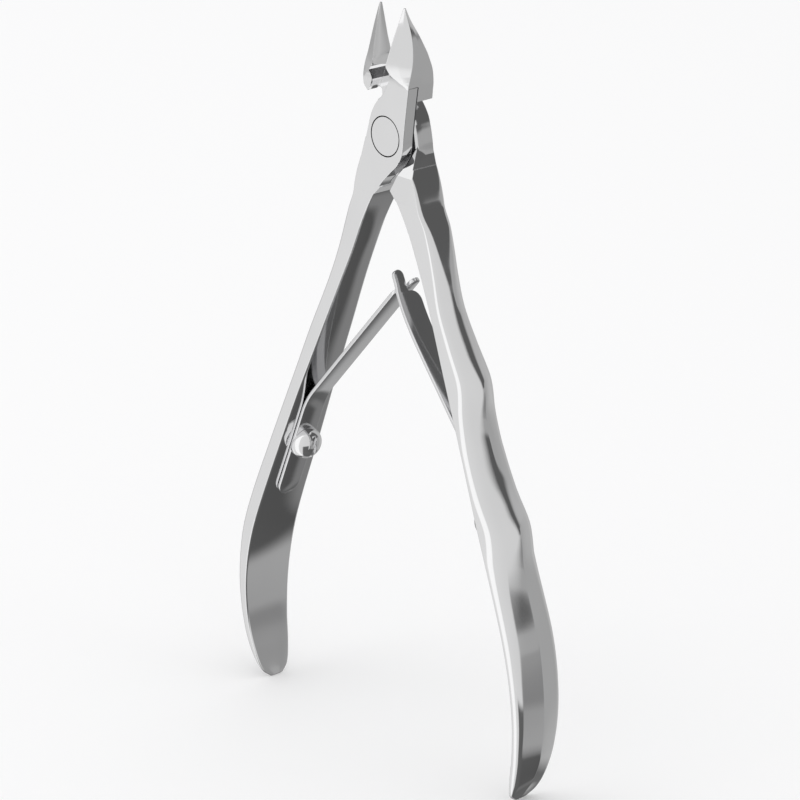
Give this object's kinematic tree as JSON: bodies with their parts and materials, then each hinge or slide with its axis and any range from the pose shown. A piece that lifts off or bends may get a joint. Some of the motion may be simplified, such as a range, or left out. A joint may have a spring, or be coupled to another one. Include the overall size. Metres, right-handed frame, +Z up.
{
  "type": "cuticle nipper",
  "caption": "Slim steel nipper with a lap joint, small hollow-ground jaws, curved handles with finger hollows, and a pair of crossed leaf springs that hold it open.",
  "frame": {"origin": "where the pivot axis meets the rear face of the lap joint", "axes": "+Z up to the jaw tips, +Y along the pivot axis out of the rear joint face, X across the handles with the palm handle on the -X side; drawn standing open"},
  "size_m": [0.0688, 0.0098, 0.1212],
  "materials": {
    "front_half": "mirror-polished stainless steel with faint lengthways polishing lines",
    "rear_half": "mirror-polished stainless steel with faint lengthways polishing lines",
    "pin": "ground flush and polished with the joint face",
    "leaf": "polished spring steel, a little duller than the halves",
    "screw": "bright turned steel"
  },
  "bodies": {
    "front_body": {"front_half": "front_half", "left_leaf_foot": "leaf", "left_leaf_screw": "screw"},
    "rear_body": {"rear_half": "rear_half", "pivot_pin": "pin", "right_leaf_foot": "leaf", "right_leaf_screw": "screw"},
    "left_leaf": {"left_leaf_arm": "leaf"},
    "right_leaf": {"right_leaf_arm": "leaf"}
  },
  "joints": [
    {"name": "jaw_pivot", "type": "hinge", "parent": "front_body", "child": "rear_body", "pos_m": [0, -0.0028, 0], "axis": [0, 1, 0], "range_deg": [-3, 14.2], "stiffness_Nm_per_rad": 1.2},
    {"name": "left_leaf_bend", "type": "hinge", "parent": "front_body", "child": "left_leaf", "pos_m": [-0.01905, -0.0028, -0.04802], "axis": [0, 1, 0], "range_deg": [-6.5, 1.8]},
    {"name": "right_leaf_bend", "type": "hinge", "parent": "rear_body", "child": "right_leaf", "pos_m": [0.01821, -0.0028, -0.04592], "axis": [0, 1, 0], "range_deg": [-2.5, 9.5]}
  ],
  "couplings": [
    {"joint": "left_leaf_bend", "follows": "jaw_pivot", "ratio": -0.414},
    {"joint": "right_leaf_bend", "follows": "jaw_pivot", "ratio": 0.616}
  ]
}
